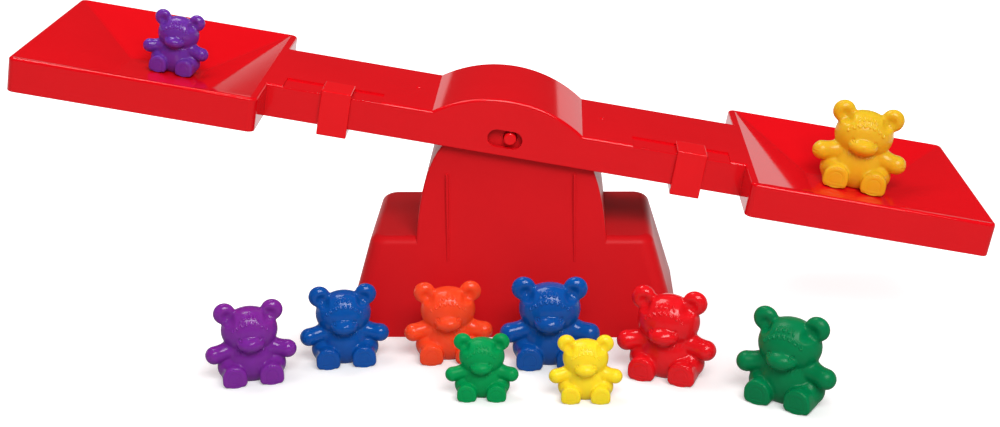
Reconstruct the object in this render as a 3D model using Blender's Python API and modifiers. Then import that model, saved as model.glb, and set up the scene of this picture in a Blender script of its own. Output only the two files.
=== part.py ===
"""Counting balance game: a tilting two-pan beam on a hollow base, with bear counters.

The beam hangs on a rounded ridge at the top of the base and is kept from lifting off by a
pivot pin, whose ends show in two slots of the beam.  It is drawn tipped on its right-hand
stop.  The origin is on the table under the pivot, +X to the right, +Y to the back, +Z up.
"""
import math

import bmesh
import bpy
from mathutils import Matrix, Vector

# Driving dimensions in metres, angles in degrees
BEAM_LENGTH = 0.380
PAN_LENGTH = 0.095
PAN_WIDTH = 0.100
PAN_CORNER_RADIUS = 0.003
PAN_RIM = 0.0014
PAN_INNER_RIM = 0.0028
PAN_DEPTH = 0.0115
PAN_FLOOR_LENGTH = 0.031
PAN_FLOOR_WIDTH = 0.026
DECK_WIDTH = 0.054
SKIRT_DEPTH = 0.0134
BEAM_WALL = 0.0020
HOOD_HALF_LENGTH = 0.0298
HOOD_RISE = 0.0094
ARM_RIB = 0.0016
ARM_BAYS = 3
DIMPLE_RADIUS = 0.0015
DIMPLE_DEPTH = 0.0003
DIMPLE_FROM_HOOD = 0.0082
DIMPLE_SETBACK = 0.0020
EDGE_SOFTENING = 0.0004

AXIS_HEIGHT = 0.0904
AXIS_ABOVE_DECK = 0.0044
STOP_TILT = 10.3
RIDGE_RADIUS = 0.0015
SADDLE_RADIUS = 0.0018
SADDLE_FLARE = 22.0
SADDLE_HALF_WIDTH = 0.0045
SADDLE_DROP = 0.0020
STOP_WEB = 0.0020

PIN_RADIUS = 0.00255
PIN_DROP = 0.0109
PIN_END_SETBACK = 0.0003
SLOT_HALF_LENGTH = 0.0069
SLOT_HALF_HEIGHT = 0.0036

BASE_LENGTH = 0.1356
WING_HEIGHT = 0.0391
WING_TOP_LENGTH = 0.113
WING_FRONT_SLOPE_RUN = 0.010
WING_CORNER_RADIUS = 0.006
WING_EDGE_RADIUS = 0.003
BASE_WALL = 0.0022
BASE_WEB = 0.0024
RIDGE_HEIGHT = 0.0059
TOWER_HALF_LENGTH = 0.0390
TOWER_CURVE_POWER = 3.33
TOWER_SIDE_CLEARANCE = 0.001
TOWER_HEAD_SETBACK = 0.005
TOWER_FOOT_DROP = 0.0036
TOWER_DRAFT_HEIGHT = 0.0265
PIN_TUBE_RADIUS = 0.0048
FRONT_RIB_DISTANCE = 0.0254
FRONT_RIB_WIDTH = 0.0011
FRONT_RIB_PROUD = 0.0013
FRONT_RIB_ABOVE_DRAFT = 0.0025
FRONT_RIB_BELOW_WING = 0.0091

RIDER_LENGTH = 0.0118
RIDER_WALL = 0.0018
RIDER_FOOT = 0.0031
RIDER_GRIP = 0.0118
LEFT_RIDER_TRACK_SHARE = 0.454
RIGHT_RIDER_TRACK_SHARE = 0.600
TRACK_START_ARM_SHARE = 0.2003
TRACK_LENGTH_ARM_SHARE = 0.6931
TRACK_WIDTH = 0.0120
TRACK_DEPTH = 0.0006

BABY_HEIGHT = 0.0243
MOTHER_HEIGHT = 0.0308
FATHER_HEIGHT = 0.0344
HEIGHTS = {"baby": BABY_HEIGHT, "mother": MOTHER_HEIGHT, "father": FATHER_HEIGHT}

GAP = 0.0003
OVERRUN = 0.002
WELD_DISTANCE = 0.000002

# Facet counts
ROUND_SIDES = 24
TOWER_STEPS = 22
HOOD_STEPS = 16
SMALL_ARC_STEPS = 8
CORNER_STEPS = 3
DIMPLE_SIDES = 10

# Colours, roughness of the mouldings
RED = (0.72, 0.012, 0.018, 1.0)
PURPLE = (0.16, 0.018, 0.30, 1.0)
BLUE = (0.006, 0.055, 0.36, 1.0)
ORANGE = (0.90, 0.085, 0.014, 1.0)
GREEN = (0.004, 0.29, 0.075, 1.0)
YELLOW = (0.94, 0.60, 0.010, 1.0)
COLOURS = {"purple": PURPLE, "blue": BLUE, "orange": ORANGE, "green": GREEN, "yellow": YELLOW, "red": RED}
GLOSSY = 0.28
SATIN = 0.42

# Values worked out from the ones above
HALF_BEAM = BEAM_LENGTH / 2
HALF_DECK = DECK_WIDTH / 2
PAN_START = HALF_BEAM - PAN_LENGTH
DECK_LEVEL = -AXIS_ABOVE_DECK
SKIRT_LEVEL = DECK_LEVEL - SKIRT_DEPTH
TILT = math.radians(STOP_TILT)
BEAM_PLACE = Matrix.Translation((0, 0, AXIS_HEIGHT)) @ Matrix.Rotation(TILT, 4, "Y")
PIN_HEIGHT = AXIS_HEIGHT - PIN_DROP
BAY_WIDTH = DECK_WIDTH - 2 * BEAM_WALL
TOWER_TOP = AXIS_HEIGHT - RIDGE_HEIGHT
TOWER_HEAD_DEPTH = BAY_WIDTH - 2 * TOWER_SIDE_CLEARANCE
WING_TOP_WIDTH = TOWER_HEAD_DEPTH + 2 * TOWER_HEAD_SETBACK
BASE_WIDTH = WING_TOP_WIDTH + 2 * WING_FRONT_SLOPE_RUN
TOWER_FOOT_LEVEL = WING_HEIGHT - TOWER_FOOT_DROP
TOWER_DRAFT_END = TOWER_FOOT_LEVEL + TOWER_DRAFT_HEIGHT
FRONT_RIB_TOP = TOWER_DRAFT_END + FRONT_RIB_ABOVE_DRAFT
FRONT_RIB_FOOT = WING_HEIGHT - FRONT_RIB_BELOW_WING


def clear_scene():
    """Remove whatever the file holds."""
    for old in list(bpy.data.objects):
        bpy.data.objects.remove(old, do_unlink=True)


def new_collection(name):
    """A collection under the scene's own."""
    group = bpy.data.collections.new(name)
    bpy.context.scene.collection.children.link(group)
    return group


def plastic(name, colour, roughness):
    """One moulded plastic."""
    material = bpy.data.materials.new(name)
    material.use_nodes = True
    shader = material.node_tree.nodes["Principled BSDF"]
    shader.inputs["Base Color"].default_value = colour
    shader.inputs["Roughness"].default_value = roughness
    shader.inputs["Metallic"].default_value = 0
    return material


def add_object(name, form, group, material=None, place=None):
    """Put a bmesh in the scene as one object."""
    mesh = bpy.data.meshes.new(name)
    form.to_mesh(mesh)
    form.free()
    piece = bpy.data.objects.new(name, mesh)
    group.objects.link(piece)
    if material:
        mesh.materials.append(material)
    if place:
        piece.matrix_world = place
    return piece


def hide_cutter(piece):
    """Show a cutter as wires and keep it out of the model."""
    piece.hide_render = True
    piece.display_type = "WIRE"


def cutter(name, form, place=None):
    """A hidden shape that other pieces are cut or joined with."""
    piece = add_object(name, form, CUTTERS, place=place)
    hide_cutter(piece)
    return piece


def combine(target, other, operation):
    """Cut, join or intersect target with another object."""
    step = target.modifiers.new(operation.lower() + "_" + other.name, "BOOLEAN")
    step.operation = operation
    step.solver = "EXACT"
    step.object = other


def box(low, high):
    """A box between two corners."""
    form = bmesh.new()
    bmesh.ops.create_cube(form, size=1)
    low = Vector(low)
    high = Vector(high)
    bmesh.ops.scale(form, vec=high - low, verts=form.verts)
    bmesh.ops.translate(form, vec=(low + high) / 2, verts=form.verts)
    return form


def round_edges(form, chosen, radius, segments):
    """Bevel some edges of a form to a radius."""
    bmesh.ops.bevel(form, geom=chosen, offset=radius, segments=segments, profile=0.5,
                    affect="EDGES", material=-1)


def upright_edges(form):
    """The edges that rise more than they run sideways."""
    found = []
    for edge in form.edges:
        rise = abs(edge.verts[0].co.z - edge.verts[1].co.z)
        run = (edge.verts[0].co.xy - edge.verts[1].co.xy).length
        if rise > run:
            found.append(edge)
    return found


def top_edges(form):
    """The edges round the highest face."""
    top = max(vert.co.z for vert in form.verts)
    return [edge for edge in form.edges if min(v.co.z for v in edge.verts) > top - GAP]


def outline_prism(points, thickness, turn):
    """A flat outline given a thickness: a 2D curve, filled and extruded, made a mesh."""
    curve = bpy.data.curves.new("outline", "CURVE")
    curve.dimensions = "2D"
    curve.fill_mode = "BOTH"
    curve.extrude = thickness / 2
    spline = curve.splines.new("POLY")
    spline.points.add(len(points) - 1)
    for point, (across, up) in zip(spline.points, points):
        point.co = (across, up, 0, 1)
    spline.use_cyclic_u = True
    holder = bpy.data.objects.new("outline", curve)
    bpy.context.scene.collection.objects.link(holder)
    seen = holder.evaluated_get(bpy.context.evaluated_depsgraph_get())
    mesh = bpy.data.meshes.new_from_object(seen)
    form = bmesh.new()
    form.from_mesh(mesh)
    bmesh.ops.remove_doubles(form, verts=form.verts, dist=WELD_DISTANCE)
    bmesh.ops.transform(form, matrix=turn, verts=form.verts)
    bmesh.ops.recalc_face_normals(form, faces=form.faces)
    bpy.data.objects.remove(holder, do_unlink=True)
    bpy.data.curves.remove(curve)
    bpy.data.meshes.remove(mesh)
    return form


# An outline drawn as seen from the front, and one drawn as seen from the right-hand end
SEEN_FROM_FRONT = Matrix.Rotation(math.radians(90), 4, "X")
SEEN_FROM_END = Matrix.Rotation(math.radians(90), 4, "Z") @ SEEN_FROM_FRONT


def arc(centre, radius, start, stop, steps):
    """Points along a circle from one angle to another, both in degrees."""
    points = []
    for step in range(steps + 1):
        angle = math.radians(start + (stop - start) * step / steps)
        points.append((centre[0] + radius * math.cos(angle), centre[1] + radius * math.sin(angle)))
    return points


def cylinder_along_y(radius, length, centre):
    """A round bar from front to back."""
    form = bmesh.new()
    bmesh.ops.create_cone(form, cap_ends=True, segments=ROUND_SIDES, radius1=radius, radius2=radius,
                          depth=length)
    bmesh.ops.rotate(form, matrix=SEEN_FROM_FRONT.to_3x3(), verts=form.verts)
    bmesh.ops.translate(form, vec=centre, verts=form.verts)
    return form


# Base

def tower_half_length(height):
    """Half the tower's length at a height above the table: a straight-sided ellipse."""
    rise = min(height / TOWER_TOP, 1)
    return TOWER_HALF_LENGTH * (1 - rise ** TOWER_CURVE_POWER) ** (1 / TOWER_CURVE_POWER)


def wing_half_width(height):
    """Half the base's width from front to back at a height: its front and back slope."""
    return WING_TOP_WIDTH / 2 + WING_FRONT_SLOPE_RUN * (1 - height / WING_HEIGHT)


def tower_half_depth(height):
    """Half the tower's depth at a height: its front runs out of the base's slope and leans back."""
    draft = (wing_half_width(TOWER_FOOT_LEVEL) - TOWER_HEAD_DEPTH / 2) / TOWER_DRAFT_HEIGHT
    return TOWER_HEAD_DEPTH / 2 + draft * max(TOWER_DRAFT_END - height, 0)


def wing_block(wall):
    """The low sloping part of the base, or with a wall thickness its inside."""
    form = box((-BASE_LENGTH / 2, -BASE_WIDTH / 2, 0), (BASE_LENGTH / 2, BASE_WIDTH / 2, WING_HEIGHT))
    for vert in form.verts:
        if vert.co.z > WING_HEIGHT / 2:
            vert.co.x *= WING_TOP_LENGTH / BASE_LENGTH
            vert.co.y *= WING_TOP_WIDTH / BASE_WIDTH
        vert.co.x -= math.copysign(wall, vert.co.x)
        vert.co.y -= math.copysign(wall, vert.co.y)
    round_edges(form, upright_edges(form), WING_CORNER_RADIUS - wall, CORNER_STEPS)
    if wall:
        for vert in form.verts:
            if vert.co.z > WING_HEIGHT / 2:
                vert.co.z -= wall
            else:
                vert.co.z -= OVERRUN
    else:
        round_edges(form, top_edges(form), WING_EDGE_RADIUS, CORNER_STEPS)
    return form


def tower_block(wall):
    """The domed upright part of the base, or with a wall thickness its inside."""
    foot = WING_EDGE_RADIUS + GAP
    rim = []
    for step in range(1, TOWER_STEPS):
        angle = math.pi * step / TOWER_STEPS
        share = abs(math.cos(angle)) ** (2 / TOWER_CURVE_POWER)
        across = math.copysign((TOWER_HALF_LENGTH - wall) * share, math.cos(angle))
        rim.append((across, (TOWER_TOP - wall) * math.sin(angle) ** (2 / TOWER_CURVE_POWER)))
    points = [(TOWER_HALF_LENGTH - wall, foot)] + rim + [(wall - TOWER_HALF_LENGTH, foot)]
    form = outline_prism(points, TOWER_HEAD_DEPTH, SEEN_FROM_FRONT)
    whole = form.verts[:] + form.edges[:] + form.faces[:]
    bmesh.ops.bisect_plane(form, geom=whole, plane_co=(0, 0, TOWER_DRAFT_END), plane_no=(0, 0, 1))
    for vert in form.verts:
        vert.co.y = math.copysign(tower_half_depth(vert.co.z) - wall, vert.co.y)
    return form


def front_rib(side, face):
    """One of the slim upright ribs of the tower, which sinks into the slope below it."""
    front_at_top = TOWER_HEAD_DEPTH / 2 + FRONT_RIB_PROUD
    lean = wing_half_width(FRONT_RIB_FOOT) + GAP - front_at_top
    form = box((-FRONT_RIB_WIDTH / 2, TOWER_HEAD_DEPTH / 2 - OVERRUN / 2, FRONT_RIB_FOOT),
               (FRONT_RIB_WIDTH / 2, front_at_top, FRONT_RIB_TOP))
    for vert in form.verts:
        if vert.co.z < TOWER_DRAFT_END:
            vert.co.y += lean
    bmesh.ops.translate(form, vec=(side * FRONT_RIB_DISTANCE, 0, 0), verts=form.verts)
    if face < 0:
        bmesh.ops.rotate(form, matrix=Matrix.Rotation(math.pi, 3, "Z"), verts=form.verts)
    return form


def build_base():
    """The hollow moulding that stands on the table and carries the ridge."""
    base = add_object("base", wing_block(0), PARTS, plastic("base_red", RED, SATIN))
    combine(base, cutter("tower", tower_block(0)), "UNION")
    ridge = [(-RIDGE_RADIUS, TOWER_TOP - OVERRUN), (RIDGE_RADIUS, TOWER_TOP - OVERRUN)]
    ridge += arc((0, AXIS_HEIGHT), RIDGE_RADIUS, 0, 180, SMALL_ARC_STEPS)
    ridge_form = outline_prism(ridge, TOWER_HEAD_DEPTH - 2 * GAP, SEEN_FROM_FRONT)
    combine(base, cutter("ridge", ridge_form), "UNION")
    for side in (-1, 1):
        for face in (-1, 1):
            name = "front_rib_" + str(side) + "_" + str(face)
            combine(base, cutter(name, front_rib(side, face)), "UNION")
    hollow = cutter("base_hollow", wing_block(BASE_WALL))
    combine(hollow, cutter("tower_hollow", tower_block(BASE_WALL)), "UNION")
    reach = BASE_LENGTH
    long_web = box((-reach, -BASE_WEB / 2, -reach), (reach, BASE_WEB / 2, reach))
    combine(hollow, cutter("long_web", long_web), "DIFFERENCE")
    for side in (-1, 1):
        middle = side * FRONT_RIB_DISTANCE
        cross = box((middle - BASE_WEB / 2, -reach, -reach), (middle + BASE_WEB / 2, reach, reach))
        combine(hollow, cutter("cross_web_" + str(side), cross), "DIFFERENCE")
    tube = cylinder_along_y(PIN_TUBE_RADIUS, BASE_WIDTH, (0, 0, PIN_HEIGHT))
    combine(hollow, cutter("pin_tube", tube), "DIFFERENCE")
    combine(base, hollow, "DIFFERENCE")
    bore = cylinder_along_y(PIN_RADIUS + GAP, BASE_WIDTH, (0, 0, PIN_HEIGHT))
    combine(base, cutter("pin_bore", bore), "DIFFERENCE")


def build_pin():
    """The pivot pin, through the top of the tower and into both slots of the beam."""
    length = DECK_WIDTH - 2 * PIN_END_SETBACK
    form = cylinder_along_y(PIN_RADIUS, length, (0, 0, 0))
    ends = [edge for edge in form.edges if abs(edge.verts[0].co.y - edge.verts[1].co.y) < GAP]
    round_edges(form, ends, EDGE_SOFTENING, 1)
    place = Matrix.Translation((0, 0, PIN_HEIGHT))
    add_object("pivot_pin", form, PARTS, plastic("pin_red", RED, SATIN), place)


# Beam, drawn round its own tilting axis

def hood_arc(wall):
    """The arch over the pivot, from its right foot to its left, less a wall thickness."""
    radius = (HOOD_HALF_LENGTH ** 2 + HOOD_RISE ** 2) / (2 * HOOD_RISE)
    centre = (0, DECK_LEVEL + HOOD_RISE - radius)
    spread = math.degrees(math.asin(HOOD_HALF_LENGTH / radius))
    if wall:
        spread = math.degrees(math.acos((DECK_LEVEL - wall - centre[1]) / (radius - wall)))
    return arc(centre, radius - wall, 90 - spread, 90 + spread, HOOD_STEPS)


def stop_web_place():
    """Distance from the axis to the face of the web that stops on the tower's side."""
    place = TOWER_HALF_LENGTH
    for _ in range(40):
        height = AXIS_HEIGHT - place * math.sin(TILT) + SKIRT_LEVEL * math.cos(TILT)
        reach = tower_half_length(height) + GAP
        place = (reach - SKIRT_LEVEL * math.sin(TILT)) / math.cos(TILT)
    return place


def track_place():
    """Where a rider's track starts on its arm, between the stop web and the pan, and its length."""
    arm_start = stop_web_place() + STOP_WEB
    free_length = PAN_START - arm_start
    return arm_start + TRACK_START_ARM_SHARE * free_length, TRACK_LENGTH_ARM_SHARE * free_length


def pan_block(side):
    """The outer block of one pan, upright edges rounded."""
    form = box((PAN_START, -PAN_WIDTH / 2, SKIRT_LEVEL), (HALF_BEAM, PAN_WIDTH / 2, DECK_LEVEL))
    round_edges(form, upright_edges(form), PAN_CORNER_RADIUS, CORNER_STEPS)
    if side < 0:
        bmesh.ops.rotate(form, matrix=Matrix.Rotation(math.pi, 3, "Z"), verts=form.verts)
    return form


def dish(side, wall):
    """The four-sided hollow of one pan, or with a wall thickness its underside."""
    start = PAN_START + PAN_INNER_RIM
    stop = HALF_BEAM - PAN_RIM
    half = PAN_WIDTH / 2 - PAN_RIM
    form = box((start, -half, DECK_LEVEL - PAN_DEPTH), (stop, half, DECK_LEVEL))
    middle = (PAN_START + HALF_BEAM) / 2
    slope_run = half - PAN_FLOOR_WIDTH / 2
    for vert in form.verts:
        if vert.co.z < DECK_LEVEL - PAN_DEPTH / 2:
            vert.co.x = middle + math.copysign(PAN_FLOOR_LENGTH / 2, vert.co.x - middle)
            vert.co.y = math.copysign(PAN_FLOOR_WIDTH / 2, vert.co.y)
    grow = 1 + OVERRUN / PAN_DEPTH
    for vert in form.verts:
        if vert.co.z > DECK_LEVEL - PAN_DEPTH / 2 and not wall:
            low_x = middle + math.copysign(PAN_FLOOR_LENGTH / 2, vert.co.x - middle)
            low_y = math.copysign(PAN_FLOOR_WIDTH / 2, vert.co.y)
            low = Vector((low_x, low_y, DECK_LEVEL - PAN_DEPTH))
            vert.co = low + (vert.co - low) * grow
        if wall:
            vert.co.z -= wall * math.hypot(slope_run, PAN_DEPTH) / slope_run
    if side < 0:
        bmesh.ops.rotate(form, matrix=Matrix.Rotation(math.pi, 3, "Z"), verts=form.verts)
    return form


def saddle_outline():
    """The bay over the tower seen from the front, with the saddle hanging from its roof."""
    stop = stop_web_place()
    floor = SKIRT_LEVEL - OVERRUN
    roof = hood_arc(BEAM_WALL)
    right = [point for point in roof if point[0] > SADDLE_HALF_WIDTH + GAP]
    left = [point for point in roof if point[0] < -SADDLE_HALF_WIDTH - GAP]
    flare = math.radians(SADDLE_FLARE)
    mouth = SADDLE_RADIUS / math.cos(flare) + SADDLE_DROP * math.tan(flare)
    notch = arc((0, 0), SADDLE_RADIUS, -SADDLE_FLARE, 180 + SADDLE_FLARE, SMALL_ARC_STEPS)
    points = [(stop, floor), (stop, DECK_LEVEL - BEAM_WALL)]
    points += right
    points += [(SADDLE_HALF_WIDTH, right[-1][1]), (SADDLE_HALF_WIDTH, -SADDLE_DROP), (mouth, -SADDLE_DROP)]
    points += notch
    points += [(-mouth, -SADDLE_DROP), (-SADDLE_HALF_WIDTH, -SADDLE_DROP), (-SADDLE_HALF_WIDTH, left[0][1])]
    points += left
    points += [(-stop, DECK_LEVEL - BEAM_WALL), (-stop, floor)]
    return points


def obround(half_length, half_height, centre_height):
    """A slot outline with round ends."""
    reach = half_length - half_height
    right_end = arc((reach, centre_height), half_height, -90, 90, SMALL_ARC_STEPS)
    left_end = arc((-reach, centre_height), half_height, 90, 270, SMALL_ARC_STEPS)
    return right_end + left_end


def sided_box(side, inner, outer, half_width, low, high):
    """A box on one arm, between two distances from the axis."""
    near, far = sorted((side * inner, side * outer))
    return box((near, -half_width, low), (far, half_width, high))


def cut_pan(beam, side, word):
    """Sink one pan's dish and hollow it underneath."""
    combine(beam, cutter(word + "_dish", dish(side, 0), BEAM_PLACE), "DIFFERENCE")
    below_skin = DECK_LEVEL - BEAM_WALL - 2 * GAP
    under_form = sided_box(side, PAN_START + BEAM_WALL, HALF_BEAM - BEAM_WALL, PAN_WIDTH / 2 - BEAM_WALL,
                           SKIRT_LEVEL - OVERRUN, below_skin)
    under = cutter(word + "_pan_hollow", under_form, BEAM_PLACE)
    skin = cutter(word + "_dish_skin", dish(side, BEAM_WALL), BEAM_PLACE)
    combine(under, skin, "DIFFERENCE")
    combine(beam, under, "DIFFERENCE")


def cut_arm(beam, side, word):
    """Hollow one arm between its ribs, and cut its rider track and its dimple."""
    start = stop_web_place() + STOP_WEB
    bay = (PAN_START - start - (ARM_BAYS - 1) * ARM_RIB) / ARM_BAYS
    for number in range(ARM_BAYS):
        bay_start = start + number * (bay + ARM_RIB)
        form = sided_box(side, bay_start, bay_start + bay, BAY_WIDTH / 2, SKIRT_LEVEL - OVERRUN,
                         DECK_LEVEL - BEAM_WALL)
        combine(beam, cutter(word + "_bay_" + str(number + 1), form, BEAM_PLACE), "DIFFERENCE")
    track_start, track_length = track_place()
    track = sided_box(side, track_start, track_start + track_length, HALF_DECK + OVERRUN,
                      DECK_LEVEL - TRACK_DEPTH, DECK_LEVEL + OVERRUN)
    for vert in track.verts:
        vert.co.y = min(vert.co.y, TRACK_WIDTH - HALF_DECK)
    combine(beam, cutter(word + "_track", track, BEAM_PLACE), "DIFFERENCE")
    dimple = bmesh.new()
    bmesh.ops.create_cone(dimple, cap_ends=True, segments=DIMPLE_SIDES, radius1=DIMPLE_RADIUS,
                          radius2=DIMPLE_RADIUS, depth=2 * DIMPLE_DEPTH)
    middle = side * (HOOD_HALF_LENGTH + DIMPLE_FROM_HOOD)
    bmesh.ops.translate(dimple, vec=(middle, DIMPLE_SETBACK, DECK_LEVEL), verts=dimple.verts)
    combine(beam, cutter(word + "_dimple", dimple, BEAM_PLACE), "DIFFERENCE")


def build_beam():
    """One moulding: two pans, two arms and the arched hood, hollow underneath."""
    form = sided_box(1, -PAN_START - OVERRUN, PAN_START + OVERRUN, HALF_DECK, SKIRT_LEVEL, DECK_LEVEL)
    beam = add_object("beam", form, PARTS, plastic("beam_red", RED, GLOSSY), BEAM_PLACE)
    foot_level = DECK_LEVEL - OVERRUN
    hood = hood_arc(0) + [(-HOOD_HALF_LENGTH, foot_level), (HOOD_HALF_LENGTH, foot_level)]
    hood_form = outline_prism(hood, DECK_WIDTH, SEEN_FROM_FRONT)
    combine(beam, cutter("hood", hood_form, BEAM_PLACE), "UNION")
    for side, word in ((-1, "left"), (1, "right")):
        combine(beam, cutter(word + "_pan", pan_block(side), BEAM_PLACE), "UNION")
    for side, word in ((-1, "left"), (1, "right")):
        cut_pan(beam, side, word)
        cut_arm(beam, side, word)
    bay_form = outline_prism(saddle_outline(), BAY_WIDTH, SEEN_FROM_FRONT)
    combine(beam, cutter("hood_bay", bay_form, BEAM_PLACE), "DIFFERENCE")
    slot_outline = obround(SLOT_HALF_LENGTH, SLOT_HALF_HEIGHT, -PIN_DROP)
    slot = outline_prism(slot_outline, DECK_WIDTH + 2 * OVERRUN, SEEN_FROM_FRONT)
    combine(beam, cutter("pin_slots", slot, BEAM_PLACE), "DIFFERENCE")


# Riders, which clip over the front edge of the deck

def rider_outline():
    """The C-shaped section of a rider, drawn as seen from the right-hand end."""
    face = -HALF_DECK - GAP
    top = DECK_LEVEL - TRACK_DEPTH + GAP
    foot = SKIRT_LEVEL - GAP
    lip_end = TRACK_WIDTH - HALF_DECK - GAP
    hook_end = face - RIDER_WALL + RIDER_GRIP
    return [(lip_end, top), (lip_end, top + RIDER_WALL), (face - RIDER_WALL, top + RIDER_WALL),
            (face - RIDER_WALL, foot - RIDER_FOOT), (hook_end, foot - RIDER_FOOT), (hook_end, foot),
            (face, foot), (face, top)]


def build_rider(name, side, track_share, material):
    """One sliding weight clip, used to bring the empty beam level."""
    form = outline_prism(rider_outline(), RIDER_LENGTH, SEEN_FROM_END)
    track_start, track_length = track_place()
    along = side * (track_start + track_share * track_length)
    place = BEAM_PLACE @ Matrix.Translation((along, 0, 0))
    rider = add_object(name, form, PARTS, material, place)
    soften = rider.modifiers.new("softened_edges", "BEVEL")
    soften.width = EDGE_SOFTENING
    soften.segments = 1
    soften.limit_method = "ANGLE"


# Bear counters, in shares of their height

HEAD_CENTRE_SHARES = (0, 0.02, 0.622)
HEAD_RADIUS_SHARES = (0.335, 0.27, 0.285)
MUZZLE_CENTRE_SHARES = (0, -0.215, 0.535)
MUZZLE_RADIUS_SHARES = (0.155, 0.12, 0.095)
EAR_CENTRE_SHARES = (0.285, 0.03, 0.860)
EAR_RADIUS_SHARES = (0.140, 0.08, 0.140)
BODY_CENTRE_SHARES = (0, 0.02, 0.25)
BODY_RADIUS_SHARES = (0.31, 0.26, 0.34)
SHOULDER_SHARES = (0.22, 0.0, 0.395)
HAND_SHARES = (0.455, -0.07, 0.365)
SHOULDER_RADIUS_SHARE = 0.130
HAND_RADIUS_SHARE = 0.108
HIP_SHARES = (0.255, -0.02, 0.17)
FOOT_SHARES = (0.225, -0.24, 0.105)
HIP_RADIUS_SHARE = 0.170
FOOT_RADIUS_SHARE = 0.133
SOLE_FACE_SHARE = -0.315
VOXEL_SHARE = 0.045
FACET_SHARE = 0.22
LIMB_BALLS = 5
BALL_SIDES = 20
BALL_RINGS = 12
ARM_SPAN_SHARE = HAND_SHARES[0] + HAND_RADIUS_SHARE

# Places of the counters in the pans, in shares of the pan's flat floor, with their turn
PAN_COUNTER_SHARES = (
    ("purple", "baby", -1, -0.139, 0.25, -4),
    ("yellow", "father", 1, 0.106, 0.29, -8),
)

# Rows of counters on the table, from left to right: the space before each one and its distance
# from the base's foot in shares of the father's height, and its turn in degrees
BACK_ROW_START_SHARE = -2.860
BACK_ROW_SHARES = (
    ("purple", "mother", 0, 1.041, 14),
    ("blue", "mother", -0.023, 0.581, 10),
    ("orange", "mother", 0.169, 0.480, 5),
    ("blue", "father", 0.087, 0.596, 0),
    ("red", "father", 0.179, 0.922, -18),
    ("green", "father", 0.118, 1.541, -30),
)
FRONT_ROW_START_SHARE = -0.267
FRONT_ROW_SHARES = (
    ("green", "baby", 0, 1.459, 0),
    ("yellow", "baby", 0.321, 1.497, 0),
)


def ellipsoid(form, centre, radii, height):
    """Add one ellipsoid of the counter."""
    place = Matrix.Translation(Vector(centre) * height) @ Matrix.Diagonal(Vector(radii) * height).to_4x4()
    bmesh.ops.create_uvsphere(form, u_segments=BALL_SIDES, v_segments=BALL_RINGS, radius=1, matrix=place)


def limb(form, start, stop, start_share, stop_share, side, height):
    """Add a limb as a row of balls from one joint of the body to its end."""
    for number in range(LIMB_BALLS):
        along = number / (LIMB_BALLS - 1)
        middle = Vector(start).lerp(Vector(stop), along)
        middle.x *= side
        share = start_share + (stop_share - start_share) * along
        ellipsoid(form, middle, (share, share, share), height)


def counter_mesh(name, height):
    """A seated bear: head, ears, muzzle, body, arms held out and legs forward on flat soles."""
    form = bmesh.new()
    ellipsoid(form, HEAD_CENTRE_SHARES, HEAD_RADIUS_SHARES, height)
    ellipsoid(form, MUZZLE_CENTRE_SHARES, MUZZLE_RADIUS_SHARES, height)
    ellipsoid(form, BODY_CENTRE_SHARES, BODY_RADIUS_SHARES, height)
    for side in (-1, 1):
        ear = Vector(EAR_CENTRE_SHARES)
        ear.x *= side
        ellipsoid(form, ear, EAR_RADIUS_SHARES, height)
        limb(form, SHOULDER_SHARES, HAND_SHARES, SHOULDER_RADIUS_SHARE, HAND_RADIUS_SHARE, side, height)
        limb(form, HIP_SHARES, FOOT_SHARES, HIP_RADIUS_SHARE, FOOT_RADIUS_SHARE, side, height)
    draft = add_object(name + "_draft", form, CUTTERS)
    skin = draft.modifiers.new("one_skin", "REMESH")
    skin.mode = "VOXEL"
    skin.voxel_size = VOXEL_SHARE * height
    fewer = draft.modifiers.new("fewer_facets", "DECIMATE")
    fewer.ratio = FACET_SHARE
    bpy.context.view_layer.update()
    seen = draft.evaluated_get(bpy.context.evaluated_depsgraph_get())
    mesh = bpy.data.meshes.new_from_object(seen)
    mesh.name = name
    bpy.data.objects.remove(draft, do_unlink=True)
    solid = bmesh.new()
    solid.from_mesh(mesh)
    for point, direction in (((0, 0, 0), (0, 0, -1)), ((0, SOLE_FACE_SHARE * height, 0), (0, -1, 0))):
        whole = solid.verts[:] + solid.edges[:] + solid.faces[:]
        cut = bmesh.ops.bisect_plane(solid, geom=whole, plane_co=point, plane_no=direction,
                                     clear_outer=True, dist=WELD_DISTANCE)
        rim = [part for part in cut["geom_cut"] if isinstance(part, bmesh.types.BMEdge)]
        bmesh.ops.contextual_create(solid, geom=rim)
    bmesh.ops.triangulate(solid, faces=solid.faces)
    solid.to_mesh(mesh)
    solid.free()
    return mesh


def pan_places():
    """Colour, size and place of each counter that stands in a pan."""
    middle = (PAN_START + HALF_BEAM) / 2
    floor = DECK_LEVEL - PAN_DEPTH + GAP
    for colour, size, side, along_share, back_share, turn in PAN_COUNTER_SHARES:
        along = side * (middle + along_share * PAN_FLOOR_LENGTH)
        place = BEAM_PLACE @ Matrix.Translation((along, back_share * PAN_FLOOR_WIDTH, floor))
        yield colour, size, place @ Matrix.Rotation(math.radians(turn), 4, "Z")


def row_places(row, start_share):
    """Colour, size and place of each counter in one row on the table."""
    across = start_share * FATHER_HEIGHT
    last_half_span = None
    for colour, size, space_share, front_share, turn in row:
        half_span = ARM_SPAN_SHARE * HEIGHTS[size]
        if last_half_span:
            across += last_half_span + space_share * FATHER_HEIGHT + half_span
        last_half_span = half_span
        place = Matrix.Translation((across, -BASE_WIDTH / 2 - front_share * FATHER_HEIGHT, 0))
        yield colour, size, place @ Matrix.Rotation(math.radians(turn), 4, "Z")


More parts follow.
